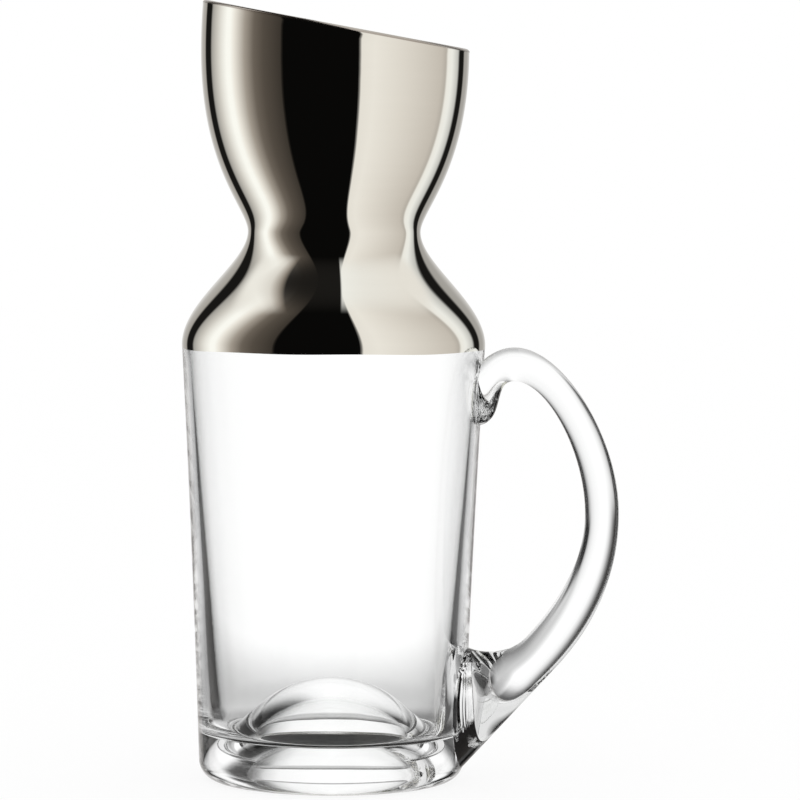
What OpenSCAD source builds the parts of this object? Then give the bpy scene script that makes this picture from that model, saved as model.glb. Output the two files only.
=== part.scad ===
// Cocktail pitcher: a blown glass jug with a heavy domed base, a pinched waist and a slanted mouth,
// a solid glass handle drawn and applied hot, and a platinum film over the neck and bowl.
// Millimetres. +Z is up, the handle is on +X, and the origin is the middle of the ring it stands on.

/* [Foot and floor] */
// Outer radius of the body just above the rounded edge of the foot
base_r = 45.2; // [40:0.1:50]
// Radius of the rounded outer edge of the foot
foot_round = 7; // [3:0.1:9]
// Radius of the hollow pushed up into the underside, at the standing ring
punt_r = 31; // [26:0.5:33]
// Depth of the hollow in the underside, at the axis
punt_depth = 27.2; // [18:0.1:28]
// Height of the floor at its lowest, beside the wall
floor_z = 15.8; // [14:0.1:20]
// Height of the floor's dome at the axis
dome_z = 34; // [28:0.5:42]
// Radius at which the floor is lowest, round the dome
trough_r = 34.5; // [28:0.5:36]

/* [Clear wall] */
// Outer radius at the shoulder, where the body is widest
shoulder_r = 51.4; // [46:0.1:56]
// Height of the shoulder, where the platinum film starts
shoulder_z = 147.5; // [130:0.5:160]
// How far the wall bows in, half way between foot and shoulder
wall_bow = 0.4; // [0:0.05:1.5]
// Thickness of the wall at the heel, where it starts to thicken into the floor
heel_t = 7; // [4:0.1:9]
// Height of the heel above the lowest part of the floor
heel_rise = 13; // [8:0.5:20]
// Thickness of the glass from the shoulder up to the rim
wall_t = 2.3; // [1.2:0.1:3.5]

/* [Neck and bowl] */
// Outer radius of the waist
waist_r = 29.2; // [22:0.1:36]
// Height of the waist
waist_z = 186.7; // [176:0.1:200]
// Outer radius of the bowl where it is widest
bowl_r = 45.3; // [38:0.1:54]
// Height at which the bowl is widest
bowl_z = 248; // [230:0.5:262]
// How far the lip draws in above the widest part of the bowl, at the rim's high side
lip_in = 0.7; // [0:0.05:2]
// Height of the rim on its high side, away from the handle
rim_high = 265; // [255:0.5:285]
// Height of the rim on its low side, above the handle
rim_low = 248.4; // [236:0.1:254]

/* [Platinum film] */
// Thickness that stands for the film, which is let into the glass so that it lies flush
film_t = 0.2; // [0.15:0.05:0.4]

/* [Handle] */
// Distance from the axis to the outermost point of the handle
handle_reach = 97.7; // [86:0.1:110]
// Height of the outermost point of the handle
reach_z = 92.2; // [80:0.1:104]
// Distance from the axis to the highest point of the handle
crown_r = 62; // [57:0.5:68]
// Height of the handle's highest point above the shoulder
crown_rise = 0.7; // [0:0.1:4]
// Thickness of the rod at its highest point, seen from the side
crown_t = 11.4; // [9:0.1:15]
// Thickness of the rod at its outermost point, seen from the side
reach_t = 11.4; // [8:0.1:14]
// Thickness of the rod at the elbow, seen from the side
elbow_t = 14.3; // [11:0.1:17]
// Width of the rod, seen from its end
rod_w = 12.4; // [9:0.1:16]
// Distance from the axis to the elbow, where the straight underside of the root begins
elbow_r = 77.2; // [70:0.1:82]
// Height of the elbow
elbow_z = 40.5; // [34:0.5:48]
// Height of the root's lower tip on the wall
root_tip_z = 5.2; // [5:0.1:12]
// Height of the root's upper edge on the wall
root_top_z = 49.5; // [46:0.5:58]
// Width of the flared root where it is pressed on the wall
root_w = 28; // [16:0.5:34]
// Height of the upper pad's top edge below the shoulder
pad_drop = 6; // [1:0.1:9]
// Height of the upper pad on the wall, with its drawn-down tail
pad_h = 20; // [18:0.1:32]
// Width of the upper pad on the wall
pad_w = 15; // [12:0.5:20]

/* [Hidden] */
$fn = 96;

// Steps along each curve of the outlines
WALL_STEPS = 10;
NECK_STEPS = 24;
BOWL_STEPS = 24;
LIP_STEPS = 5;
HEEL_STEPS = 10;
DOME_STEPS = 20;
FOOT_STEPS = 6;
PUNT_STEPS = 14;
RING_STEPS = 28;
ROOT_STEPS = 16;
SWEEP_STEPS = 12;
CROWN_STEPS = 16;
PAD_STEPS = 10;

// How far the curves hold their end directions, as shares of the span they cross
shoulder_lead_share = 0.38;
waist_under_share = 0.28;
waist_over_share = 0.12;
bowl_lead_share = 0.66;
heel_lead_share = 0.6;
trough_lead_share = 0.06;
dome_lead_share = 0.62;
sweep_lead_share = 0.38;
crown_lead_share = 0.46;
pad_lead_share = 0.6;
tail_lead_share = 0.85;
armpit_lead_share = 0.5;

// Share of the root's length in which its flare dies out into the rod
root_flare_share = 0.72;

// Directions in the outlines, as radius and height
UP = [0, 1];
DOWN = [0, -1];
IN = [-1, 0];

// How far cutting solids run past what they cut, and how far the root and the pad run into the wall
overrun = 8;
root_sink = 3.5;
pad_sink = 2;

rim_mid = (rim_high + rim_low) / 2;
rim_tilt = atan2(rim_high - rim_low, 2 * bowl_r);
top_z = rim_high + overrun;

function unit(v) = v / norm(v);
function smooth(t) = t * t * (3 - 2 * t);
function bezier(a, b, c, d, t) =
    pow(1 - t, 3) * a + 3 * pow(1 - t, 2) * t * b + 3 * (1 - t) * t * t * c + pow(t, 3) * d;

// Points after the first on a curve that leaves p along u and reaches q along v
function span(p, u, lead_p, q, v, lead_q, steps) =
    [for (i = [1:steps]) bezier(p, p + u * lead_p, q - v * lead_q, q, i / steps)];

// A run of points moved by t square to their own direction, to the left of the way they run
function shifted(run, t) = [for (i = [0:len(run) - 1])
    let (d = unit(run[min(i + 1, len(run) - 1)] - run[max(i - 1, 0)])) run[i] + t * [-d.y, d.x]];

function reversed(run) = [for (i = [len(run) - 1:-1:0]) run[i]];

// Outer radius of the clear wall at a height
function wall_share(z) = (z - foot_round) / (shoulder_z - foot_round);
function wall_r(z) = let (s = wall_share(z))
    base_r + (shoulder_r - base_r) * s - 4 * wall_bow * s * (1 - s);

// Outer outline of the foot and the clear wall, from the standing ring up to the shoulder
foot_line = [for (i = [0:FOOT_STEPS]) let (a = 90 * i / FOOT_STEPS)
    [base_r - foot_round + foot_round * sin(a), foot_round - foot_round * cos(a)]];
wall_line = [for (i = [1:WALL_STEPS]) let (z = foot_round + (shoulder_z - foot_round) * i / WALL_STEPS)
    [wall_r(z), z]];

// Outer outline of the neck and bowl, from the shoulder to above the rim
shoulder_at = [shoulder_r, shoulder_z];
shoulder_way = unit(shoulder_at - wall_line[WALL_STEPS - 2]);
waist_at = [waist_r, waist_z];
bowl_at = [bowl_r, bowl_z];
neck_h = waist_z - shoulder_z;
bowl_h = bowl_z - waist_z;
lip_h = rim_high - bowl_z;
neck_line = concat([shoulder_at],
    span(shoulder_at, shoulder_way, shoulder_lead_share * neck_h,
         waist_at, UP, waist_under_share * neck_h, NECK_STEPS),
    span(waist_at, UP, waist_over_share * bowl_h, bowl_at, UP, bowl_lead_share * bowl_h, BOWL_STEPS),
    [for (i = [1:LIP_STEPS]) let (z = bowl_z + (top_z - bowl_z) * i / LIP_STEPS)
        [bowl_r - lip_in * pow((z - bowl_z) / lip_h, 2), z]]);

// Inner outline, from the axis over the dome and up the wall to above the rim
inner_neck = shifted(neck_line, wall_t);
film_line = shifted(neck_line, film_t);
heel_z = floor_z + heel_rise;
heel_at = [wall_r(heel_z) - heel_t, heel_z];
trough_at = [trough_r, floor_z];
dome_at = [0, dome_z];
wall_way = unit(inner_neck[0] - heel_at);
floor_line = concat([dome_at],
    span(dome_at, -IN, dome_lead_share * trough_r, trough_at, -IN, trough_lead_share * trough_r, DOME_STEPS),
    span(trough_at, -IN, heel_lead_share * (heel_at.x - trough_r),
         heel_at, wall_way, heel_lead_share * heel_rise, HEEL_STEPS));

// Hollow of the underside: part of a sphere, from its edge in to the axis
punt_sphere_r = (punt_r * punt_r + punt_depth * punt_depth) / (2 * punt_depth);
punt_edge_a = atan2(punt_r, punt_sphere_r - punt_depth);
punt_line = [for (i = [0:PUNT_STEPS]) let (a = punt_edge_a * (1 - i / PUNT_STEPS))
    [punt_sphere_r * sin(a), punt_depth - punt_sphere_r * (1 - cos(a))]];

// Everything inside the outer surface
module outer_form() {
    rotate_extrude()
        polygon(concat(foot_line, wall_line, neck_line, [[0, top_z], [0, 0]]));
}

// Space above the slanted rim
module above_rim() {
    side = 4 * max(bowl_r, shoulder_r);
    translate([0, 0, rim_mid])
        rotate([0, rim_tilt, 0])
            translate([-side / 2, -side / 2, 0])
                cube([side, side, top_z]);
}

module glass_body() {
    color([0.86, 0.9, 0.91, 0.4])
        difference() {
            rotate_extrude()
                polygon(concat(foot_line, wall_line, film_line,
                               reversed(concat(floor_line, inner_neck)), reversed(punt_line)));
            above_rim();
        }
}

module platinum_film() {
    color([0.72, 0.69, 0.64])
        difference() {
            rotate_extrude()
                polygon(concat(neck_line, reversed(film_line)));
            above_rim();
        }
}

// Edges of the handle seen from the side, from the root to the upper pad
root_tip = [wall_r(root_tip_z), root_tip_z];
elbow_at = [elbow_r, elbow_z];
underside_way = unit(elbow_at - root_tip);
reach_at = [handle_reach, reach_z];
crown_z = shoulder_z + crown_rise;
crown_at = [crown_r, crown_z];
pad_top = [wall_r(shoulder_z - pad_drop) - pad_sink, shoulder_z - pad_drop];
outer_start = root_tip - root_sink * underside_way;
outer_rail = concat([outer_start],
    [for (i = [1:ROOT_STEPS]) outer_start + (elbow_at - outer_start) * i / ROOT_STEPS],
    span(elbow_at, underside_way, sweep_lead_share * (reach_z - elbow_z),
         reach_at, UP, sweep_lead_share * (reach_z - elbow_z), SWEEP_STEPS),
    span(reach_at, UP, crown_lead_share * (crown_z - reach_z),
         crown_at, IN, crown_lead_share * (handle_reach - crown_r), CROWN_STEPS),
    span(crown_at, IN, pad_lead_share * (crown_r - pad_top.x),
         pad_top, IN + DOWN / 2, 0, PAD_STEPS));

across_elbow = [-underside_way.y, underside_way.x];
inner_elbow = elbow_at + elbow_t * across_elbow;
inner_reach = reach_at + reach_t * IN;
inner_crown = crown_at + crown_t * DOWN;
root_top = [wall_r(root_top_z) - root_sink, root_top_z];
pad_low_z = pad_top.y - pad_h;
pad_low = [wall_r(pad_low_z) - pad_sink, pad_low_z];
inner_rail = concat([root_top],
    span(root_top, DOWN, armpit_lead_share * (root_top_z - elbow_z),
         inner_elbow, underside_way, armpit_lead_share * (inner_elbow.x - root_top.x), ROOT_STEPS),
    span(inner_elbow, underside_way, sweep_lead_share * (reach_z - inner_elbow.y),
         inner_reach, UP, sweep_lead_share * (reach_z - inner_elbow.y), SWEEP_STEPS),
    span(inner_reach, UP, crown_lead_share * (inner_crown.y - reach_z),
         inner_crown, IN, crown_lead_share * (inner_reach.x - crown_r), CROWN_STEPS),
    span(inner_crown, IN, pad_lead_share * (crown_r - pad_low.x),
         pad_low, IN, tail_lead_share * (crown_r - pad_low.x), PAD_STEPS));

// Width of the handle at each step along its edges
widths = concat(
    [for (i = [0:ROOT_STEPS])
        root_w + (rod_w - root_w) * smooth(min(i / (root_flare_share * ROOT_STEPS), 1))],
    [for (i = [1:SWEEP_STEPS + CROWN_STEPS]) rod_w],
    [for (i = [1:PAD_STEPS]) rod_w + (pad_w - rod_w) * smooth(i / PAD_STEPS)]);

// Oval section of the handle at step i, square to the plane of its two edges
function handle_ring(i) = let (mid = (outer_rail[i] + inner_rail[i]) / 2, half = outer_rail[i] - mid)
    [for (k = [0:RING_STEPS - 1]) let (a = 360 * k / RING_STEPS)
        [mid.x + half.x * cos(a), widths[i] / 2 * sin(a), mid.y + half.y * cos(a)]];

module handle_blank() {
    rings = len(outer_rail);
    last = (rings - 1) * RING_STEPS;
    points = [for (i = [0:rings - 1]) each handle_ring(i)];
    sides = [for (i = [0:rings - 2], k = [0:RING_STEPS - 1])
        let (a = i * RING_STEPS + k, b = i * RING_STEPS + (k + 1) % RING_STEPS)
            each [[a, b, b + RING_STEPS], [a, b + RING_STEPS, a + RING_STEPS]]];
    start_cap = [for (k = [RING_STEPS - 1:-1:0]) k];
    end_cap = [for (k = [0:RING_STEPS - 1]) last + k];
    polyhedron(points, concat(sides, [start_cap, end_cap]));
}

module handle() {
    color([0.88, 0.91, 0.92, 0.5])
        difference() {
            handle_blank();
            outer_form();
        }
}

glass_body();
handle();
platinum_film();
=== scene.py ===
import logging
import math
from bisect import bisect_left
from collections.abc import Sequence
from dataclasses import dataclass
from enum import Enum

import bmesh
import bpy
from mathutils import Matrix, Vector


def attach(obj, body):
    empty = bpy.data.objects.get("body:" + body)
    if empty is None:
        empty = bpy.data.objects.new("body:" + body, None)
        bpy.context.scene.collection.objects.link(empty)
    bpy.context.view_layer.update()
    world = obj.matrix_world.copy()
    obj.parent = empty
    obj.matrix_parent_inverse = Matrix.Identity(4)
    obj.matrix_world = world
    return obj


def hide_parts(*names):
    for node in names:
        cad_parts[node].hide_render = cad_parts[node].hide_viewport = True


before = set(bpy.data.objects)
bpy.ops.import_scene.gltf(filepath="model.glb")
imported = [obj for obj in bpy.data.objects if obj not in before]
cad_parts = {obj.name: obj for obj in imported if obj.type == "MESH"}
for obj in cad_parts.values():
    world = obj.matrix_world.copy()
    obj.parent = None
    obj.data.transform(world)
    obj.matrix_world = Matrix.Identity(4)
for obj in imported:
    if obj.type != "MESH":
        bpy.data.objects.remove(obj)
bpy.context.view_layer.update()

BODY = "root"
LOG = logging.getLogger("pitcher")

Line = list[Vector]
Pair = tuple[float, float]
Colour = tuple[float, float, float]
Panels = Sequence[tuple[float, ...]]

UP = Vector((0.0, 1.0))
DOWN = Vector((0.0, -1.0))
INWARD = Vector((-1.0, 0.0))
OUTWARD = Vector((1.0, 0.0))

WHITE = (1.0, 1.0, 1.0, 1.0)
BLACK = (0.0, 0.0, 0.0, 1.0)
WELD = 1e-6
FINE_WELD = 1e-7
HALF_TURN_DEG = 180.0


class Node(Enum):
    """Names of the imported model's nodes."""

    BODY = "glass_body"
    HANDLE = "handle"
    FILM = "platinum_film"


class Slot(Enum):
    """Material slots of the record."""

    GLASS = "clear_glass"
    HANDLE = "handle_glass"
    PLATINUM = "platinum"


class Side(Enum):
    """Marks which outline a point of a turned mesh was made from."""

    LOWER = 0
    OUTER = 1
    INNER = 2
    LIP = 3


class Coat(Enum):
    """Numbers of a piece's materials: its own, and that of its joint or darker lip."""

    OWN = 0
    OTHER = 1


def curve_point(a: Vector, b: Vector, c: Vector, d: Vector, t: float) -> Vector:
    """Finds a point on a cubic curve.

    Args:
        a: Start of the curve.
        b: Control point next to the start.
        c: Control point next to the end.
        d: End of the curve.
        t: Share of the way along, from 0 to 1.

    Returns:
        The point at that share.
    """
    u = 1.0 - t
    return u ** 3 * a + 3 * u * u * t * b + 3 * u * t * t * c + t ** 3 * d


def span(p: Vector, u: Vector, lead_p: float, q: Vector, v: Vector, lead_q: float, steps: int) -> Line:
    """Draws a curve between two points with given end directions.

    Args:
        p: Start point, which is left out of the result.
        u: Direction in which the curve leaves the start.
        lead_p: How far the curve holds that direction.
        q: End point.
        v: Direction in which the curve reaches the end.
        lead_q: How far the curve holds that direction.
        steps: Number of points made.

    Returns:
        The points after the start, up to the end.
    """
    return [curve_point(p, p + u * lead_p, q - v * lead_q, q, i / steps) for i in range(1, steps + 1)]


def shifted(line: Line, distance: float) -> Line:
    """Moves a line square to itself.

    Args:
        line: Points of the line.
        distance: How far to move, to the left of the way that the line runs.

    Returns:
        The moved points.
    """
    last = len(line) - 1
    moved = []
    for i, point in enumerate(line):
        way = (line[min(i + 1, last)] - line[max(i - 1, 0)]).normalized()
        moved.append(point + distance * Vector((-way.y, way.x)))
    return moved


def smooth_step(t: float) -> float:
    """Eases a share from 0 to 1."""
    return t * t * (3.0 - 2.0 * t)


@dataclass(frozen=True)
class Outline:
    """Turned outline of the pitcher, as radius and height in metres, the same sizes as the solids have."""

    base_r: float = 0.0452
    foot_round: float = 0.007
    punt_r: float = 0.031
    punt_depth: float = 0.0272
    floor_z: float = 0.0158
    dome_z: float = 0.034
    trough_r: float = 0.0345
    shoulder_r: float = 0.0514
    shoulder_z: float = 0.1475
    wall_bow: float = 0.0004
    heel_t: float = 0.007
    heel_rise: float = 0.013
    wall_t: float = 0.0023
    waist_r: float = 0.0292
    waist_z: float = 0.1867
    bowl_r: float = 0.0453
    bowl_z: float = 0.248
    lip_in: float = 0.0007
    rim_high: float = 0.265
    rim_low: float = 0.2484
    overrun: float = 0.008
    shoulder_lead_share: float = 0.38
    waist_under_share: float = 0.28
    waist_over_share: float = 0.12
    bowl_lead_share: float = 0.66
    heel_lead_share: float = 0.6
    trough_lead_share: float = 0.06
    dome_lead_share: float = 0.62
    chord_parts: int = 10
    wall_steps: int = 24
    curve_steps: int = 48
    lip_steps: int = 12
    foot_steps: int = 10
    floor_steps: int = 40

    @property
    def rim_mid(self) -> float:
        """Height of the slanted rim at the axis."""
        return (self.rim_high + self.rim_low) / 2

    @property
    def rim_slope(self) -> float:
        """How much the rim drops for each metre towards the handle."""
        return (self.rim_high - self.rim_low) / (2 * self.bowl_r)

    def wall_r(self, z: float) -> float:
        """Gives the outer radius of the clear wall at a height."""
        s = (z - self.foot_round) / (self.shoulder_z - self.foot_round)
        return self.base_r + (self.shoulder_r - self.base_r) * s - 4 * self.wall_bow * s * (1 - s)

    def foot_line(self) -> Line:
        """Draws the rounded foot, from the standing ring out to the wall."""
        centre = Vector((self.base_r - self.foot_round, self.foot_round))
        turns = [math.pi / 2 * i / self.foot_steps for i in range(self.foot_steps + 1)]
        return [centre + self.foot_round * Vector((math.sin(a), -math.cos(a))) for a in turns]

    def wall_line(self) -> Line:
        """Draws the outside of the clear wall, from the foot to the shoulder."""
        rise = self.shoulder_z - self.foot_round
        heights = [self.foot_round + rise * i / self.wall_steps for i in range(1, self.wall_steps + 1)]
        return [Vector((self.wall_r(z), z)) for z in heights]

    def neck_line(self) -> Line:
        """Draws the outside of the neck and bowl, from the shoulder to above the rim."""
        shoulder = Vector((self.shoulder_r, self.shoulder_z))
        below_z = self.shoulder_z - (self.shoulder_z - self.foot_round) / self.chord_parts
        way = shoulder - Vector((self.wall_r(below_z), below_z))
        waist = Vector((self.waist_r, self.waist_z))
        bowl = Vector((self.bowl_r, self.bowl_z))
        neck_h = self.waist_z - self.shoulder_z
        bowl_h = self.bowl_z - self.waist_z
        line = [shoulder]
        line += span(shoulder, way.normalized(), self.shoulder_lead_share * neck_h,
                     waist, UP, self.waist_under_share * neck_h, self.curve_steps)
        line += span(waist, UP, self.waist_over_share * bowl_h,
                     bowl, UP, self.bowl_lead_share * bowl_h, self.curve_steps)
        lip_h = self.rim_high - self.bowl_z
        for i in range(1, self.lip_steps + 1):
            rise = (lip_h + self.overrun) * i / self.lip_steps
            line.append(Vector((self.bowl_r - self.lip_in * (rise / lip_h) ** 2, self.bowl_z + rise)))
        return line

    def floor_line(self) -> Line:
        """Draws the inside, from the axis over the dome and the trough to the heel of the wall."""
        dome = Vector((0.0, self.dome_z))
        trough = Vector((self.trough_r, self.floor_z))
        heel_z = self.floor_z + self.heel_rise
        heel = Vector((self.wall_r(heel_z) - self.heel_t, heel_z))
        wall_top = shifted(self.neck_line(), self.wall_t)[0]
        line = [dome]
        line += span(dome, OUTWARD, self.dome_lead_share * self.trough_r,
                     trough, OUTWARD, self.trough_lead_share * self.trough_r, self.floor_steps)
        line += span(trough, OUTWARD, self.heel_lead_share * (heel.x - self.trough_r),
                     heel, (wall_top - heel).normalized(), self.heel_lead_share * self.heel_rise,
                     self.floor_steps)
        return line

    def inner_wall_line(self) -> Line:
        """Draws the straight inside of the clear wall, above the heel and below the shoulder."""
        heel = self.floor_line()[-1]
        top = shifted(self.neck_line(), self.wall_t)[0]
        return [heel.lerp(top, i / self.wall_steps) for i in range(1, self.wall_steps)]

    def punt_line(self) -> Line:
        """Draws the hollow of the underside, part of a sphere, from the axis out to its edge."""
        ball_r = (self.punt_r ** 2 + self.punt_depth ** 2) / (2 * self.punt_depth)
        edge = math.atan2(self.punt_r, ball_r - self.punt_depth)
        turns = [edge * i / self.floor_steps for i in range(self.floor_steps + 1)]
        return [Vector((ball_r * math.sin(a), self.punt_depth - ball_r * (1 - math.cos(a)))) for a in turns]

    @staticmethod
    def radius_at(line: Line, z: float) -> float:
        """Reads a radius off a line that only rises.

        Args:
            line: Points with rising height.
            z: Height to read at.

        Returns:
            The radius, straight between neighbouring points.
        """
        above = min(max(bisect_left(line, z, key=lambda point: point.y), 1), len(line) - 1)
        low, high = line[above - 1], line[above]
        return low.x + (high.x - low.x) * (z - low.y) / (high.y - low.y)


class Mesh:
    """Steps that every piece's mesh shares."""

    @staticmethod
    def turned(bm: bmesh.types.BMesh, runs: Sequence[tuple[Side, Line]], steps: int, ring: bool) -> None:
        """Turns an outline once round the axis and marks every point with its side.

        Args:
            bm: Mesh to add to.
            runs: Parts of the outline in order, as side and points of radius and height.
            steps: Number of faces round the axis.
            ring: Whether the outline closes on itself, rather than ending on the axis.
        """
        mark = bm.verts.layers.int.new(Side.__name__)
        verts = []
        for side, line in runs:
            for point in line:
                verts.append(bm.verts.new((point.x, 0.0, point.y)))
                verts[-1][mark] = side.value
        ends = verts[1:] + verts[:1] if ring else verts[1:]
        edges = [bm.edges.new(pair) for pair in zip(verts, ends)]
        bmesh.ops.spin(bm, geom=verts + edges, cent=(0, 0, 0), axis=(0, 0, 1), angle=2 * math.pi,
                       steps=steps, use_merge=True, use_duplicate=False)
        bmesh.ops.remove_doubles(bm, verts=bm.verts, dist=FINE_WELD)

    @staticmethod
    def closed(bm: bmesh.types.BMesh, weld: float = WELD) -> None:
        """Welds doubled points and turns all faces outwards.

        Args:
            bm: Mesh to clean.
            weld: Distance under which points are one.
        """
        bmesh.ops.remove_doubles(bm, verts=bm.verts, dist=weld)
        bmesh.ops.recalc_face_normals(bm, faces=bm.faces)

    @staticmethod
    def made(bm: bmesh.types.BMesh, name: str, sharp_deg: float = 40.0) -> bpy.types.Object:
        """Makes an object from a mesh, smooth but for its sharp edges.

        Args:
            bm: Finished mesh, which is freed.
            name: Name of the piece.
            sharp_deg: Angle between faces past which an edge stays sharp.

        Returns:
            The object, linked to the scene at the origin.
        """
        limit = math.radians(sharp_deg)
        for face in bm.faces:
            face.smooth = True
        for edge in bm.edges:
            edge.smooth = len(edge.link_faces) != 2 or edge.calc_face_angle(0.0) < limit
        mesh = bpy.data.meshes.new(name)
        bm.to_mesh(mesh)
        bm.free()
        piece = bpy.data.objects.new(name, mesh)
        bpy.context.scene.collection.objects.link(piece)
        return piece


class Signal:
    """A shader socket that Python's operators work on."""

    def __init__(self, tree: "ShaderTree", socket: bpy.types.NodeSocket) -> None:
        """Wraps a socket of a tree."""
        self.tree = tree
        self.socket = socket

    def _math(self, operation: str, first: "Signal | float", second: "Signal | float") -> "Signal":
        """Adds one Math node to the tree and gives its result."""
        return self.tree.add("ShaderNodeMath", {"operation": operation}, {0: first, 1: second})["Value"]

    def __add__(self, other: "Signal | float") -> "Signal":
        """Adds."""
        return self._math("ADD", self, other)

    def __radd__(self, other: float) -> "Signal":
        """Adds, reflected."""
        return self._math("ADD", other, self)

    def __sub__(self, other: "Signal | float") -> "Signal":
        """Subtracts."""
        return self._math("SUBTRACT", self, other)

    def __rsub__(self, other: float) -> "Signal":
        """Subtracts, reflected."""
        return self._math("SUBTRACT", other, self)

    def __mul__(self, other: "Signal | float") -> "Signal":
        """Multiplies."""
        return self._math("MULTIPLY", self, other)

    def __rmul__(self, other: float) -> "Signal":
        """Multiplies, reflected."""
        return self._math("MULTIPLY", other, self)

    def __truediv__(self, other: "Signal | float") -> "Signal":
        """Divides."""
        return self._math("DIVIDE", self, other)

    def __rtruediv__(self, other: float) -> "Signal":
        """Divides, reflected."""
        return self._math("DIVIDE", other, self)

    def __neg__(self) -> "Signal":
        """Changes the sign."""
        return self._math("MULTIPLY", self, -1.0)

    def __or__(self, other: "Signal | float") -> "Signal":
        """Takes the larger of two."""
        return self._math("MAXIMUM", self, other)

    def __ror__(self, other: float) -> "Signal":
        """Takes the larger of two, reflected."""
        return self._math("MAXIMUM", other, self)

    def diagonal(self, other: "Signal") -> "Signal":
        """Gives the distance whose two sides are this value and another."""
        return self._math("SQRT", self * self + other * other, 0.0)

    def angle_from(self, other: "Signal") -> "Signal":
        """Gives the angle whose tangent is this value over another."""
        return self._math("ARCTAN2", self, other)


class Made:
    """A node that was added to a tree."""

    def __init__(self, tree: "ShaderTree", node: bpy.types.Node) -> None:
        """Keeps the node with its tree."""
        self.tree = tree
        self.node = node

    def __getitem__(self, name: str) -> Signal:
        """Gives an output by name."""
        return Signal(self.tree, self.node.outputs[name])


class ShaderTree:
    """Builds one node tree."""

    def __init__(self, node_tree: bpy.types.NodeTree) -> None:
        """Empties the tree."""
        self.tree = node_tree
        self.tree.nodes.clear()

    @classmethod
    def for_material(cls, name: str) -> tuple[bpy.types.Material, "ShaderTree"]:
        """Starts a material.

        Args:
            name: Name of the material.

        Returns:
            The material and its empty tree.
        """
        material = bpy.data.materials.new(name)
        material.use_nodes = True
        return material, cls(material.node_tree)

    def add(self, kind: str, settings: dict[str, object], inputs: dict[str | int, object]) -> Made:
        """Adds a node.

        Args:
            kind: The node's type.
            settings: Properties that are set first; stops holds a ramp's places and colours.
            inputs: Values or links by socket name or number.

        Returns:
            The node.
        """
        node = self.tree.nodes.new(kind)
        for key, value in settings.items():
            if key == "stops":
                self._set_stops(node.color_ramp, value)
            else:
                setattr(node, key, value)
        for key, value in inputs.items():
            if isinstance(value, Signal):
                self.tree.links.new(value.socket, node.inputs[key])
            else:
                node.inputs[key].default_value = value
        return Made(self, node)

    def mixed(self, share: Signal, first: object, second: object) -> Signal:
        """Mixes two colours.

        Args:
            share: How much of the second there is.
            first: Colour or socket at a share of 0.
            second: Colour or socket at a share of 1.

        Returns:
            The mixed colour.
        """
        node = self.add("ShaderNodeMix", {"data_type": "RGBA"}, {0: share, 6: first, 7: second}).node
        return Signal(self, node.outputs[2])

    def coords(self) -> Signal:
        """Gives the place on the object."""
        return self.add("ShaderNodeTexCoord", {}, {})["Object"]

    def parts(self, vector: Signal) -> Made:
        """Splits a vector into X, Y and Z."""
        return self.add("ShaderNodeSeparateXYZ", {}, {"Vector": vector})

    def noise(self, coords: Signal, scale: float, detail: float, roughness: float = 0.5,
              distortion: float = 0.0) -> Signal:
        """Adds a cloudy pattern.

        Args:
            coords: Place on the object.
            scale: How fine the clouds are.
            detail: How many finer layers are added.
            roughness: How strong the finer layers are.
            distortion: How much the clouds are swirled.

        Returns:
            The pattern, from 0 to 1.
        """
        inputs = {"Vector": coords, "Scale": scale, "Detail": detail, "Roughness": roughness,
                  "Distortion": distortion}
        return self.add("ShaderNodeTexNoise", {}, inputs)["Fac"]

    def eased(self, value: Signal, start: float, end: float, low: float = 0.0) -> Signal:
        """Rises smoothly to 1 between two values.

        Args:
            value: Value that is read.
            start: Where the rise starts.
            end: Where it is done.
            low: Result up to the start.

        Returns:
            The eased value.
        """
        inputs = {"Value": value, "From Min": start, "From Max": end, "To Min": low}
        return self.add("ShaderNodeMapRange", {"interpolation_type": "SMOOTHSTEP"}, inputs)["Result"]

    def bumped(self, height: Signal, distance: float) -> Signal:
        """Gives the normal of a surface whose bumps follow a pattern, at most that distance high."""
        inputs = {"Height": height, "Strength": 1.0, "Distance": distance}
        return self.add("ShaderNodeBump", {}, inputs)["Normal"]

    def principled(self, inputs: dict[str | int, object]) -> None:
        """Makes a principled shader the material's surface."""
        self.surface(self.add("ShaderNodeBsdfPrincipled", {}, inputs)["BSDF"])

    def surface(self, shader: Signal) -> None:
        """Makes a shader the material's surface."""
        self.add("ShaderNodeOutputMaterial", {}, {"Surface": shader})

    @staticmethod
    def _set_stops(ramp: bpy.types.ColorRamp, stops: Sequence[tuple[float, tuple[float, ...]]]) -> None:
        """Sets a ramp's stops, in order."""
        while len(ramp.elements) < len(stops):
            ramp.elements.new(1.0)
        for element, (place, colour) in zip(ramp.elements, stops):
            element.position = place
            element.color = (*colour, 1.0)


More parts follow.
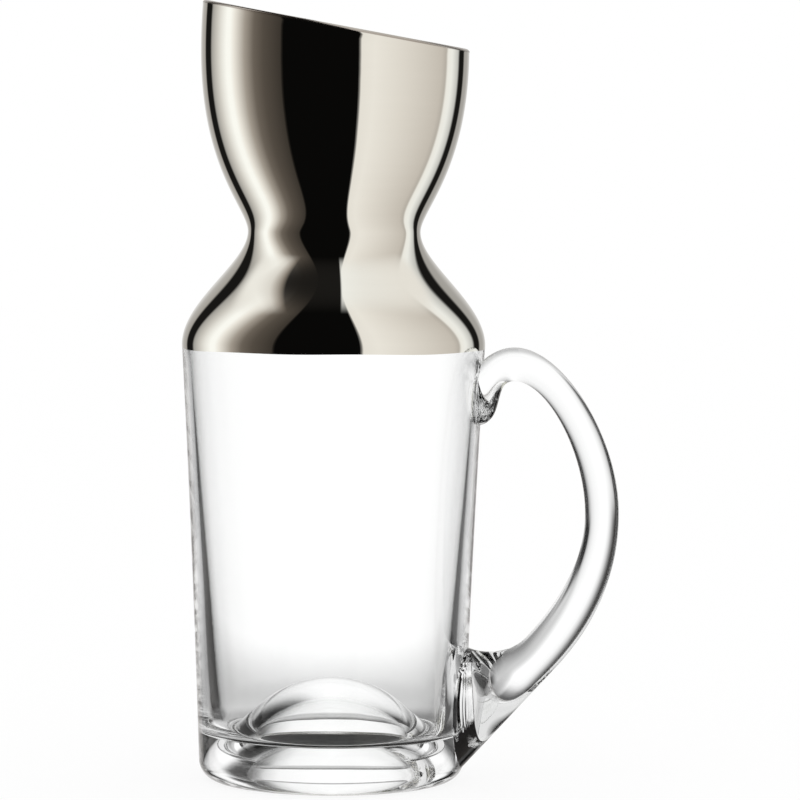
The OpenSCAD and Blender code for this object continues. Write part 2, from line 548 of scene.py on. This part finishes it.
@dataclass(frozen=True)
class GlassFinish:
    """Clear blown glass, with the faint unevenness that working it hot leaves."""

    name: str
    tint: Colour = (0.998, 1.0, 0.999)
    streak_tint: Colour = (0.996, 0.999, 0.998)
    glare: float = 0.35
    ior: float = 1.5
    wave_scale: float = 28.0
    wave_detail: float = 1.0
    wave_roughness: float = 0.4
    wave_height: float = 0.00006
    ripple_scale: float = 95.0
    ripple_detail: float = 1.0
    ripple_share: float = 0.6
    ripple_z: Pair = (0.052, 0.03)
    smear_scale: float = 90.0
    smear_detail: float = 3.0
    smear_roughness: float = 0.012

    def build(self) -> bpy.types.Material:
        """Makes the material.

        Returns:
            A material of transmitting glass.
        """
        material, tree = ShaderTree.for_material(self.name)
        coords = tree.coords()
        waves = tree.noise(coords, self.wave_scale, self.wave_detail, self.wave_roughness)
        smears = tree.noise(coords, self.smear_scale, self.smear_detail)
        ripples = tree.noise(coords, self.ripple_scale, self.ripple_detail)
        low = tree.eased(tree.parts(coords)["Z"], *self.ripple_z)
        tree.principled({
            "Base Color": tree.mixed(smears, (*self.tint, 1.0), (*self.streak_tint, 1.0)),
            "Roughness": self.smear_roughness * (smears * smears),
            "IOR": self.ior, "Transmission Weight": 1.0, "Specular Tint": (self.glare,) * 3 + (1.0,),
            "Normal": tree.bumped(waves + self.ripple_share * (low * ripples), self.wave_height)})
        return material


@dataclass(frozen=True)
class PlatinumFinish:
    """Fired platinum film on glass: a warm mirror with faint brush marks."""

    name: str
    bright: Colour = (0.835, 0.83, 0.765)
    dull: Colour = (0.81, 0.805, 0.74)
    roughness: float = 0.006
    brush_stretch: tuple[float, float, float] = (1.0, 1.0, 12.0)
    brush_scale: float = 40.0
    brush_detail: float = 4.0
    brush_roughness: float = 0.02
    wave_scale: float = 22.0
    wave_detail: float = 0.0
    wave_height: float = 0.00008

    def build(self) -> bpy.types.Material:
        """Makes the material.

        Returns:
            A material of polished metal.
        """
        material, tree = ShaderTree.for_material(self.name)
        coords = tree.coords()
        stretched = tree.add("ShaderNodeMapping", {}, {"Vector": coords, "Scale": self.brush_stretch})
        brush = tree.noise(stretched["Vector"], self.brush_scale, self.brush_detail)
        waves = tree.noise(coords, self.wave_scale, self.wave_detail)
        tree.principled({
            "Base Color": tree.mixed(brush, (*self.bright, 1.0), (*self.dull, 1.0)), "Metallic": 1.0,
            "Roughness": self.roughness + self.brush_roughness * (brush * brush),
            "Normal": tree.bumped(waves, self.wave_height)})
        return material


@dataclass(frozen=True)
class FusedFinish:
    """Faces inside the fused glass: clear, with air trapped by wrinkles in the upper joint that mirrors the
    light, and dark patches of painted shade on that air.
    """

    name: str = "fused_joint"
    bright: Colour = (0.95, 0.96, 0.96)
    # Colour of the patches of painted shade on the trapped air.
    dark: Colour = (0.03, 0.03, 0.03)
    roughness: float = 0.08
    wrinkle_scale: float = 240.0
    wrinkle_detail: float = 2.0
    wrinkle_distortion: float = 1.5
    wrinkle_edge: Pair = (0.5, 0.56)
    wrinkle_height: float = 0.0006
    shade_scale: float = 480.0
    shade_detail: float = 2.0
    shade_edge: Pair = (0.45, 0.55)
    upper_z: Pair = (0.06, 0.1)

    def build(self) -> bpy.types.Material:
        """Makes the material.

        Returns:
            A material that shows only along the wrinkles.
        """
        material, tree = ShaderTree.for_material(self.name)
        coords = tree.coords()
        wrinkles = tree.noise(coords, self.wrinkle_scale, self.wrinkle_detail,
                              distortion=self.wrinkle_distortion)
        shown = tree.eased(wrinkles, *self.wrinkle_edge)
        upper = tree.eased(tree.parts(coords)["Z"], *self.upper_z)
        # The dark patches are painted shade, mixed by a cloudy pattern into the trapped air's mirror colour.
        shade = tree.eased(tree.noise(coords, self.shade_scale, self.shade_detail), *self.shade_edge)
        tree.principled({
            "Base Color": tree.mixed(shade, (*self.bright, 1.0), (*self.dark, 1.0)), "Metallic": 1.0,
            "Roughness": self.roughness, "Alpha": shown * upper,
            "Normal": tree.bumped(wrinkles, self.wrinkle_height)})
        return material


@dataclass
class Rim:
    """The slanted cut at the top of the bowl."""

    outline: Outline
    passes: int = 4

    def slant(self, bm: bmesh.types.BMesh, side: Side, line: Line,
              below: float = 0.0) -> set[bmesh.types.BMVert]:
        """Draws the rings above the waist down or up to the slanted cut, along their own outline.

        Args:
            bm: Mesh whose points are marked with their side.
            side: Which points to move.
            line: Outline of those points, from the shoulder up.
            below: How far under the cut they stop.

        Returns:
            The points on the cut.
        """
        o = self.outline
        mark = bm.verts.layers.int[Side.__name__]
        rising = [p for p in line if p.y >= o.waist_z]
        foot, top = rising[0].y, rising[-1].y
        verts = [v for v in bm.verts if v[mark] == side.value and v.co.z > foot]
        edge = {v for v in verts if v.co.z > top - WELD}
        for vert in verts:
            angle = math.atan2(vert.co.y, vert.co.x)
            rim_z = o.rim_mid
            for _ in range(self.passes):
                rim_z = o.rim_mid - below - o.rim_slope * math.cos(angle) * o.radius_at(rising, rim_z)
            z = foot + (rim_z - foot) * (vert.co.z - foot) / (top - foot)
            r = o.radius_at(rising, z)
            vert.co = (r * math.cos(angle), r * math.sin(angle), z)
        return edge

    @staticmethod
    def rounded(bm: bmesh.types.BMesh, cut: set[bmesh.types.BMVert], radius: float, segments: int,
                finish: int = -1) -> None:
        """Rounds a ring of edges on the cut.

        Args:
            bm: Mesh to change.
            cut: Points of the ring.
            radius: How far the rounding reaches.
            segments: Number of faces across the rounding.
            finish: Number of the rounding's material, or -1 for that of its neighbours.
        """
        edges = [e for e in bm.edges if e.verts[0] in cut and e.verts[1] in cut]
        bmesh.ops.bevel(bm, geom=edges, offset=radius, offset_type="OFFSET", affect="EDGES",
                        segments=segments, profile=0.5, material=finish)


@dataclass
class Vessel:
    """The blown glass body, with its heavy base, waist, bowl and slanted rim."""

    outline: Outline
    turns: int = 192
    rim_rounds: tuple[float, float] = (0.001, 0.0004)
    rim_segments: int = 6

    def build(self) -> bpy.types.Object:
        """Models the closed glass wall.

        Returns:
            The glass body as an object.
        """
        o = self.outline
        bm = bmesh.new()
        neck = o.neck_line()
        inside = shifted(neck, o.wall_t)
        under = o.punt_line() + o.foot_line() + o.wall_line()[:-1]
        within = o.floor_line() + o.inner_wall_line()
        Mesh.turned(bm, ((Side.LOWER, under), (Side.OUTER, neck), (Side.INNER, inside[::-1]),
                         (Side.LOWER, within[::-1])), self.turns, ring=False)
        rim = Rim(o)
        cuts = rim.slant(bm, Side.OUTER, neck), rim.slant(bm, Side.INNER, inside)
        for cut, radius in zip(cuts, self.rim_rounds):
            rim.rounded(bm, cut, radius, self.rim_segments)
        Mesh.closed(bm)
        return Mesh.made(bm, Node.BODY.value)


@dataclass
class Film:
    """The platinum film on the outside of the neck and bowl."""

    outline: Outline
    turns: int = 192
    clear: float = 0.00001
    thickness: float = 0.00005
    lip_in: float = 0.0012
    lip_round: float = 0.001
    lip_segments: int = 6
    edge_wave: float = 0.00012
    edge_waves: tuple[int, ...] = (3, 7)

    def wavy(self, bm: bmesh.types.BMesh) -> None:
        """Lets the lower edge run a little up and down the wall, as the brush left it."""
        o = self.outline
        for vert in (v for v in bm.verts if v.co.z < o.shoulder_z + o.wall_bow):
            angle = math.atan2(vert.co.y, vert.co.x)
            drop = self.edge_wave * sum(math.sin(n * angle + n) + 1.0 for n in self.edge_waves)
            share = o.wall_r(vert.co.z - drop) / o.wall_r(vert.co.z)
            vert.co = (vert.co.x * share, vert.co.y * share, vert.co.z - drop)

    def build(self) -> bpy.types.Object:
        """Models the film as a thin closed shell that runs over the lip.

        Returns:
            The film as an object.
        """
        bm = bmesh.new()
        neck = self.outline.neck_line()
        proud = self.clear + self.thickness
        back = shifted(neck, -self.clear)
        face = shifted(neck, -proud)
        over = shifted(neck, self.lip_in)
        lip = [over[-1], over[-1] + self.thickness * DOWN]
        runs = (Side.OUTER, face), (Side.LIP, lip), (Side.INNER, back[::-1])
        Mesh.turned(bm, runs, self.turns, ring=True)
        rim = Rim(self.outline)
        rim.slant(bm, Side.LIP, over, -proud)
        cuts = rim.slant(bm, Side.OUTER, face, -proud), rim.slant(bm, Side.INNER, back, -2 * self.clear)
        for cut in cuts:
            rim.rounded(bm, cut, self.lip_round, self.lip_segments, Coat.OTHER.value)
        self.wavy(bm)
        Mesh.closed(bm, FINE_WELD)
        return Mesh.made(bm, Node.FILM.value)


@dataclass
class Handle:
    """The solid glass handle: a broad root, an arch and an upper pad with a drawn-down tail."""

    outline: Outline
    reach: float = 0.0977
    reach_z: float = 0.0922
    crown_r: float = 0.062
    crown_rise: float = 0.0007
    crown_t: float = 0.0114
    reach_t: float = 0.0114
    elbow_t: float = 0.0143
    rod_w: float = 0.0124
    elbow_r: float = 0.0772
    elbow_z: float = 0.0405
    root_tip_z: float = 0.0052
    root_top_z: float = 0.0495
    root_w: float = 0.028
    root_flare_share: float = 0.72
    pad_drop: float = 0.006
    pad_h: float = 0.02
    pad_w: float = 0.015
    root_sink: float = 0.0035
    pad_sink: float = 0.002
    sweep_lead_share: float = 0.38
    crown_lead_share: float = 0.46
    pad_lead_share: float = 0.6
    tail_lead_share: float = 0.85
    armpit_lead_share: float = 0.5
    root_steps: int = 30
    sweep_steps: int = 30
    crown_steps: int = 40
    pad_steps: int = 24
    ring_steps: int = 64

    def outer_rail(self) -> Line:
        """Draws the outer edge, seen from the side, from the root to the upper pad."""
        o = self.outline
        tip = Vector((o.wall_r(self.root_tip_z), self.root_tip_z))
        elbow = Vector((self.elbow_r, self.elbow_z))
        way = (elbow - tip).normalized()
        reach = Vector((self.reach, self.reach_z))
        crown = Vector((self.crown_r, o.shoulder_z + self.crown_rise))
        pad_z = o.shoulder_z - self.pad_drop
        pad = Vector((o.wall_r(pad_z) - self.pad_sink, pad_z))
        start = tip - self.root_sink * way
        sweep = self.sweep_lead_share * (self.reach_z - self.elbow_z)
        line = [start.lerp(elbow, i / self.root_steps) for i in range(self.root_steps + 1)]
        line += span(elbow, way, sweep, reach, UP, sweep, self.sweep_steps)
        line += span(reach, UP, self.crown_lead_share * (crown.y - reach.y),
                     crown, INWARD, self.crown_lead_share * (reach.x - crown.x), self.crown_steps)
        line += span(crown, INWARD, self.pad_lead_share * (crown.x - pad.x), pad, DOWN, 0.0, self.pad_steps)
        return line

    def inner_rail(self) -> Line:
        """Draws the edge towards the wall, seen from the side, from the root to the upper pad."""
        o = self.outline
        tip = Vector((o.wall_r(self.root_tip_z), self.root_tip_z))
        outer_elbow = Vector((self.elbow_r, self.elbow_z))
        way = (outer_elbow - tip).normalized()
        elbow = outer_elbow + self.elbow_t * Vector((-way.y, way.x))
        reach = Vector((self.reach - self.reach_t, self.reach_z))
        crown = Vector((self.crown_r, o.shoulder_z + self.crown_rise - self.crown_t))
        root = Vector((o.wall_r(self.root_top_z) - self.root_sink, self.root_top_z))
        pad_z = o.shoulder_z - self.pad_drop - self.pad_h
        pad = Vector((o.wall_r(pad_z) - self.pad_sink, pad_z))
        sweep = self.sweep_lead_share * (self.reach_z - elbow.y)
        line = [root]
        line += span(root, DOWN, self.armpit_lead_share * (self.root_top_z - self.elbow_z),
                     elbow, way, self.armpit_lead_share * (elbow.x - root.x), self.root_steps)
        line += span(elbow, way, sweep, reach, UP, sweep, self.sweep_steps)
        line += span(reach, UP, self.crown_lead_share * (crown.y - reach.y),
                     crown, INWARD, self.crown_lead_share * (reach.x - crown.x), self.crown_steps)
        line += span(crown, INWARD, self.pad_lead_share * (crown.x - pad.x),
                     pad, INWARD, self.tail_lead_share * (crown.x - pad.x), self.pad_steps)
        return line

    def widths(self) -> list[float]:
        """Gives the handle's width at each step along its edges."""
        flare = self.root_flare_share * self.root_steps
        root = [self.root_w + (self.rod_w - self.root_w) * smooth_step(min(i / flare, 1.0))
                for i in range(self.root_steps + 1)]
        rod = [self.rod_w] * (self.sweep_steps + self.crown_steps)
        pad = [self.rod_w + (self.pad_w - self.rod_w) * smooth_step(i / self.pad_steps)
               for i in range(1, self.pad_steps + 1)]
        return root + rod + pad

    @staticmethod
    def station(outer: Vector, inner: Vector, width: float) -> Matrix:
        """Places a unit ring as an oval section.

        Args:
            outer: Point on the outer edge.
            inner: Point on the inner edge.
            width: Width of the section across the plane of the two edges.

        Returns:
            The matrix from the unit ring to the section.
        """
        mid = (outer + inner) / 2
        half = (outer - inner) / 2
        along = Vector((half.x, 0.0, half.y))
        across = Vector((0.0, width / 2, 0.0))
        facing = along.cross(across).normalized()
        matrix = Matrix((along, across, facing)).transposed().to_4x4()
        matrix.translation = (mid.x, 0.0, mid.y)
        return matrix

    def build(self) -> bpy.types.Object:
        """Models the handle as a closed loft whose ends run into the wall.

        Returns:
            The uncut handle as an object.
        """
        bm = bmesh.new()
        stations = [self.station(*s) for s in zip(self.outer_rail(), self.inner_rail(), self.widths())]
        ring = bmesh.ops.create_circle(bm, cap_ends=False, radius=1.0, segments=self.ring_steps,
                                       matrix=stations[0])["verts"]
        edges = list({e for v in ring for e in v.link_edges})
        bmesh.ops.contextual_create(bm, geom=edges)
        for here, ahead in zip(stations, stations[1:]):
            grown = bmesh.ops.extrude_edge_only(bm, edges=edges)["geom"]
            verts = [g for g in grown if isinstance(g, bmesh.types.BMVert)]
            edges = [g for g in grown if isinstance(g, bmesh.types.BMEdge)
                     and g.verts[0] in verts and g.verts[1] in verts]
            bmesh.ops.transform(bm, matrix=ahead @ here.inverted(), verts=verts)
        bmesh.ops.contextual_create(bm, geom=edges)
        Mesh.closed(bm)
        return Mesh.made(bm, Node.HANDLE.value)


@dataclass
class HotJoint:
    """Fuses the handle to the wall, so that light runs from one into the other."""

    vessel: bpy.types.Object
    handle: bpy.types.Object
    joint: bpy.types.Material

    def fused_mesh(self) -> bpy.types.Mesh:
        """Joins the two closed pieces into one skin.

        Returns:
            The joined mesh, where the handle's faces keep the handle's material.
        """
        cut = self.vessel.modifiers.new("fuse", "BOOLEAN")
        cut.operation = "UNION"
        cut.solver = "MANIFOLD"
        cut.material_mode = "TRANSFER"
        cut.object = self.handle
        depsgraph = bpy.context.evaluated_depsgraph_get()
        mesh = bpy.data.meshes.new_from_object(self.vessel.evaluated_get(depsgraph), depsgraph=depsgraph)
        self.vessel.modifiers.remove(cut)
        return mesh

    def split(self, mesh: bpy.types.Mesh, piece: bpy.types.Object, glass: bpy.types.Material) -> None:
        """Gives a piece its share of the joined skin and closes it inside the glass.

        Args:
            mesh: The joined mesh.
            piece: Object that gets the faces of its own material.
            glass: That material.
        """
        mine = mesh.materials.find(glass.name)
        bm = bmesh.new()
        bm.from_mesh(mesh)
        others = [f for f in bm.faces if f.material_index != mine]
        bmesh.ops.delete(bm, geom=others, context="FACES")
        for face in bm.faces:
            face.material_index = Coat.OWN.value
        open_edges = [e for e in bm.edges if e.is_boundary]
        inside = bmesh.ops.triangle_fill(bm, edges=open_edges, use_beauty=True)["geom"]
        for face in (g for g in inside if isinstance(g, bmesh.types.BMFace)):
            face.material_index = Coat.OTHER.value
        bmesh.ops.recalc_face_normals(bm, faces=bm.faces)
        LOG.info("%s: %d faces, joint closed across %d edges", piece.name, len(bm.faces), len(open_edges))
        finished = Mesh.made(bm, piece.name + "_fused")
        old, piece.data = piece.data, finished.data
        bpy.data.objects.remove(finished)
        bpy.data.meshes.remove(old)
        piece.data.materials.append(glass)
        piece.data.materials.append(self.joint)

    def fuse(self, vessel_glass: bpy.types.Material, handle_glass: bpy.types.Material) -> None:
        """Cuts both pieces along the line where they meet.

        Args:
            vessel_glass: Material of the body.
            handle_glass: Material of the handle.
        """
        self.vessel.data.materials.append(vessel_glass)
        self.handle.data.materials.append(handle_glass)
        mesh = self.fused_mesh()
        self.split(mesh, self.vessel, vessel_glass)
        self.split(mesh, self.handle, handle_glass)
        bpy.data.meshes.remove(mesh)


@dataclass
class PhotoCamera:
    """Camera at the photograph's place, for a frame of 800 by 800 pixels."""

    azimuth_deg: float = 9.5
    distance: float = 1.408
    height: float = 0.214
    pitch_deg: float = 3.43
    yaw_deg: float = -0.922
    roll_deg: float = 0.37
    focal_px: float = 4150.0
    frame_px: float = 800.0
    sensor_mm: float = 36.0

    def build(self) -> bpy.types.Object:
        """Makes the camera and gives it to the scene.

        Returns:
            The camera.
        """
        data = bpy.data.cameras.new("photo_camera")
        data.sensor_width = self.sensor_mm
        data.lens = self.sensor_mm * self.focal_px / self.frame_px
        camera = bpy.data.objects.new("photo_camera", data)
        turn = math.radians(self.azimuth_deg)
        heading = Matrix.Rotation(turn + math.radians(self.yaw_deg), 4, "Z")
        tilt = Matrix.Rotation(math.radians(90.0 - self.pitch_deg), 4, "X")
        roll = Matrix.Rotation(math.radians(self.roll_deg), 4, "Z")
        place = Vector((self.distance * math.sin(turn), -self.distance * math.cos(turn), self.height))
        camera.matrix_world = Matrix.Translation(place) @ heading @ tilt @ roll
        bpy.context.scene.collection.objects.link(camera)
        bpy.context.scene.camera = camera
        return camera


@dataclass
class Studio:
    """Pale floor and the soft white panels and dark flags that stand round the pitcher."""

    facing_deg: float = 9.5
    floor_half: float = 4.0
    floor_white: float = 1.0
    floor_glow: float = 0.9
    floor_drop: float = 0.00002
    disc_segments: int = 64
    shade_r: float = 0.043
    shade_white: float = 0.35
    shade_drop: float = 0.00001
    shadow_r: float = 0.4
    shadow_drop: float = 0.000005
    shadow_y: float = 0.12
    shadow_half: Pair = (0.6, 0.165)
    shadow_white: float = 0.58
    contact_r: Pair = (0.045, 0.1)
    contact_white: float = 0.42
    grip_x: float = 0.11
    grip_r: Pair = (0.03, 0.13)
    grip_white: float = 0.3
    warm_red: float = 0.2
    warm_blue: float = 0.15
    panels: Panels = (
        (-180.0, 0.85, 0.1), (-168.0, 0.7, 0.1), (-160.0, 0.5, 0.2), (-149.5, 0.4, 0.3),
        (-147.0, 0.01, 0.3), (-134.5, 0.01, 0.3), (-132.0, 0.4, 0.2), (-122.0, 0.68, 0.2),
        (-115.0, 0.92, 0.1), (-107.0, 1.16), (-102.0, 1.16), (-97.0, 0.96, 0.2), (-84.0, 0.38, 0.6),
        (-74.0, 0.145, 0.9), (-64.0, 0.085, 1.0), (-47.5, 0.043, 1.0), (-46.0, 0.003, 0.3),
        (20.7, 0.003, 0.3), (22.3, 0.9, 0.2), (34.0, 0.94, 0.2), (60.0, 0.82, 0.28), (104.0, 0.61, 0.42),
        (110.5, 0.5, 0.42), (113.0, 0.98, 0.1), (120.0, 1.0), (131.0, 0.62), (134.0, 0.01, 0.3),
        (144.5, 0.01, 0.3), (147.0, 0.4, 0.2), (156.0, 0.42, 0.2), (180.0, 0.85, 0.1))
    ceiling: Panels = (
        (-1.0, 0.8, 0.2), (-0.6, 1.0, 0.1), (-0.54, 0.8, 0.2), (-0.51, 0.53, 0.4), (-0.47, 0.22, 0.8),
        (-0.44, 0.012, 0.6), (0.065, 0.012, 0.4), (0.08, 1.02), (0.3, 0.95, 0.1), (0.6, 0.9, 0.2),
        (1.0, 0.8, 0.2))
    ceiling_from: Pair = (0.58, 0.7)
    ceiling_back: Pair = (0.7, 0.92)
    ceiling_lean: float = 0.5
    clear_panels: Panels = (
        (-180.0, 1.06), (-168.0, 1.02), (-160.0, 0.87), (-153.0, 0.66), (-148.0, 0.42), (-146.0, 0.02),
        (-140.0, 0.003), (-131.0, 0.003), (-124.0, 0.3), (-112.0, 0.65), (-98.0, 0.85), (-60.0, 0.8),
        (-20.0, 0.75), (20.0, 0.8), (60.0, 0.9), (100.0, 0.85), (116.0, 0.6), (125.0, 0.05), (130.0, 0.005),
        (142.0, 0.005), (144.0, 0.02), (147.0, 0.45), (153.0, 0.78), (160.0, 0.93), (168.0, 1.02),
        (180.0, 1.06))
    flags_from: Pair = (-0.36, -0.28)
    high_panels: Panels = (
        (-180.0, 1.06), (-170.0, 0.98), (-164.0, 0.72), (-157.0, 0.3), (-150.0, 0.06), (-145.0, 0.005),
        (-120.0, 0.005), (-112.0, 0.3), (-98.0, 0.75), (-60.0, 0.8), (-20.0, 0.75), (20.0, 0.8), (60.0, 0.85),
        (98.0, 0.6), (108.0, 0.05), (136.0, 0.02), (144.0, 0.5), (152.0, 0.82), (160.0, 0.95), (180.0, 1.06))
    high_from: Pair = (-0.16, -0.06)
    floor_panels: Panels = (
        (-180.0, 1.0), (-160.0, 1.0), (-150.0, 0.1), (-112.0, 0.1), (-102.0, 1.0), (98.0, 1.0), (108.0, 0.1),
        (138.0, 0.1), (150.0, 1.0), (180.0, 1.0))
    floor_from: Pair = (-0.5, -0.42)
    light_paths: int = 40

    def ramp(self, tree: ShaderTree, panels: Panels, reach: float, at: Signal) -> Signal:
        """Reads the colour of panels off at a place.

        Args:
            tree: Tree to add to.
            panels: Place, grey and, where it isn't zero, warmth of each panel's edges.
            reach: Place of the last edge, with the first as far on the other side of zero.
            at: Place to read at, from 0 at the first edge to 1 at the last.

        Returns:
            The colour there.
        """
        stops = []
        for place, grey, *tone in panels:
            warmth = tone[0] if tone else 0.0
            colour = (grey * (1.0 + self.warm_red * warmth), grey, grey * (1.0 - self.warm_blue * warmth))
            stops.append(((place / reach + 1.0) / 2, colour))
        return tree.add("ShaderNodeValToRGB", {"stops": stops}, {"Fac": at})["Color"]

    def faced(self, tree: ShaderTree, vector: Signal) -> Made:
        """Splits a place or direction into X to the right, Y to the back and Z, as the camera faces it.

        Args:
            tree: Tree to add to.
            vector: Place or direction in the shared frame.

        Returns:
            The node with the three parts.
        """
        turned = tree.add("ShaderNodeVectorRotate", {"rotation_type": "Z_AXIS"},
                          {"Vector": vector, "Angle": -math.radians(self.facing_deg)})["Vector"]
        return tree.parts(turned)

    def sheet(self, bm: bmesh.types.BMesh, name: str, white: float, drop: float) -> bpy.types.Object:
        """Lays one sheet of the floor.

        Args:
            bm: Flat mesh at height zero, which is freed.
            name: Name of the sheet.
            white: How much light it gives back.
            drop: How far under the standing ring it lies.

        Returns:
            The sheet, which isn't part of the object.
        """
        bmesh.ops.translate(bm, verts=bm.verts, vec=(0.0, 0.0, -drop))
        sheet = Mesh.made(bm, name)
        material, tree = ShaderTree.for_material(name)
        shown = tree.add("ShaderNodeLightPath", {}, {})["Is Camera Ray"] * self.floor_glow
        lit = tree.add("ShaderNodeBsdfDiffuse", {}, {"Color": (white, white, white, 1.0)})["BSDF"]
        glow = tree.add("ShaderNodeEmission", {}, {"Color": WHITE, "Strength": 1.0})["Emission"]
        tree.surface(tree.add("ShaderNodeMixShader", {}, {0: shown, 1: lit, 2: glow})["Shader"])
        sheet.data.materials.append(material)
        sheet.visible_glossy = False
        return sheet

    def floor(self) -> None:
        """Lays the floor, and under the foot the shaded patch that shows through the glass."""
        bm = bmesh.new()
        bmesh.ops.create_grid(bm, x_segments=1, y_segments=1, size=self.floor_half)
        floor = self.sheet(bm, "studio_floor", self.floor_white, self.floor_drop)
        floor.visible_transmission = False
        bm = bmesh.new()
        bmesh.ops.create_circle(bm, cap_ends=True, segments=self.disc_segments, radius=self.shade_r)
        shade = self.sheet(bm, "studio_floor_shade", self.shade_white, self.shade_drop)
        shade.visible_camera = shade.visible_diffuse = shade.visible_shadow = False

    def shadow(self) -> None:
        """Lays the soft shadow of body, foot and handle on the floor, as it shows through the glass."""
        place = Matrix.Translation((0.0, 0.0, -self.shadow_drop))
        bm = bmesh.new()
        bmesh.ops.create_circle(bm, cap_ends=True, segments=self.disc_segments, radius=self.shadow_r,
                                matrix=place)
        veil = Mesh.made(bm, "studio_floor_shadow")
        material, tree = ShaderTree.for_material(veil.name)
        parts = self.faced(tree, tree.coords())
        across, back = parts["X"], parts["Y"]
        wide, deep = self.shadow_half
        oval = (across / wide).diagonal((back - self.shadow_y) / deep)
        cast = tree.eased(oval, 0.0, 1.0, self.shadow_white)
        contact = tree.eased(across.diagonal(back), *self.contact_r, self.contact_white)
        grip = tree.eased((across - self.grip_x).diagonal(back), *self.grip_r, self.grip_white)
        dark, light = (tree.add("ShaderNodeBsdfTransparent", {}, {"Color": tone})["BSDF"]
                       for tone in (BLACK, WHITE))
        mixed = tree.add("ShaderNodeMixShader", {}, {0: cast * contact * grip, 1: dark, 2: light})
        tree.surface(mixed["Shader"])
        veil.data.materials.append(material)
        veil.visible_camera = veil.visible_diffuse = veil.visible_glossy = veil.visible_shadow = False

    def surroundings(self) -> None:
        """Makes the world: white to the eye, panels and flags to metal and glass."""
        world = bpy.data.worlds.new("studio")
        bpy.context.scene.world = world
        world.use_nodes = True
        tree = ShaderTree(world.node_tree)
        parts = self.faced(tree, tree.add("ShaderNodeTexCoord", {}, {})["Generated"])
        across, back, height = parts["X"], parts["Y"], parts["Z"]
        turn = across.angle_from(-back) * (0.5 / math.pi) + 0.5

        def around(panels: Panels) -> Signal:
            """Reads the colour of panels that stand round the pitcher."""
            return self.ramp(tree, panels, HALF_TURN_DEG, turn)

        leaning = height + self.ceiling_lean * back
        overhead = tree.eased(height, *self.ceiling_from) * tree.eased(leaning, *self.ceiling_back)
        ceiling = self.ramp(tree, self.ceiling, 1.0, 0.5 + 0.5 * across)
        mirrored = tree.mixed(overhead, around(self.panels), ceiling)
        lower = tree.mixed(tree.eased(height, *self.floor_from), WHITE, around(self.floor_panels))
        clear = tree.mixed(tree.eased(height, *self.high_from), around(self.clear_panels),
                           around(self.high_panels))
        through = tree.mixed(tree.eased(height, *self.flags_from), lower, clear)
        path = tree.add("ShaderNodeLightPath", {}, {})
        seen = tree.mixed(path["Is Transmission Ray"], mirrored, through)
        colour = tree.mixed(path["Is Camera Ray"] | path["Is Diffuse Ray"], seen, WHITE)
        shader = tree.add("ShaderNodeBackground", {}, {"Color": colour, "Strength": 1.0})["Background"]
        tree.add("ShaderNodeOutputWorld", {}, {"Surface": shader})

    def build(self) -> None:
        """Sets up the floor, the surroundings, plain colours and light paths long enough for thick glass."""
        self.floor()
        self.shadow()
        self.surroundings()
        paths = bpy.context.scene.cycles
        paths.max_bounces = paths.transmission_bounces = self.light_paths
        paths.glossy_bounces = paths.transparent_max_bounces = self.light_paths
        bpy.context.scene.view_settings.view_transform = "Standard"


def main() -> None:
    """Builds the pitcher and the studio round it."""
    logging.basicConfig(level=logging.INFO, format="%(name)s: %(message)s")
    PhotoCamera().build()
    Studio().build()
    outline = Outline()
    glass = GlassFinish("clear_glass").build()
    handle_glass = GlassFinish("handle_glass").build()
    vessel = Vessel(outline).build()
    handle = Handle(outline).build()
    HotJoint(vessel, handle, FusedFinish().build()).fuse(glass, handle_glass)
    film = Film(outline).build()
    # The film's lip gets a darker, rougher platinum than the rest of the film.
    worn_lip = PlatinumFinish("worn_lip", bright=(0.5, 0.47, 0.43), dull=(0.42, 0.39, 0.35), roughness=0.2)
    for finish in (PlatinumFinish("platinum_film"), worn_lip):
        film.data.materials.append(finish.build())
    for piece, node, slot in ((vessel, Node.BODY, Slot.GLASS), (handle, Node.HANDLE, Slot.HANDLE),
                              (film, Node.FILM, Slot.PLATINUM)):
        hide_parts(node.value)
        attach(piece, BODY)
        LOG.info("%s stands for %s, %d faces", piece.name, node.value, len(piece.data.polygons))


if __name__ == "__main__":
    main()
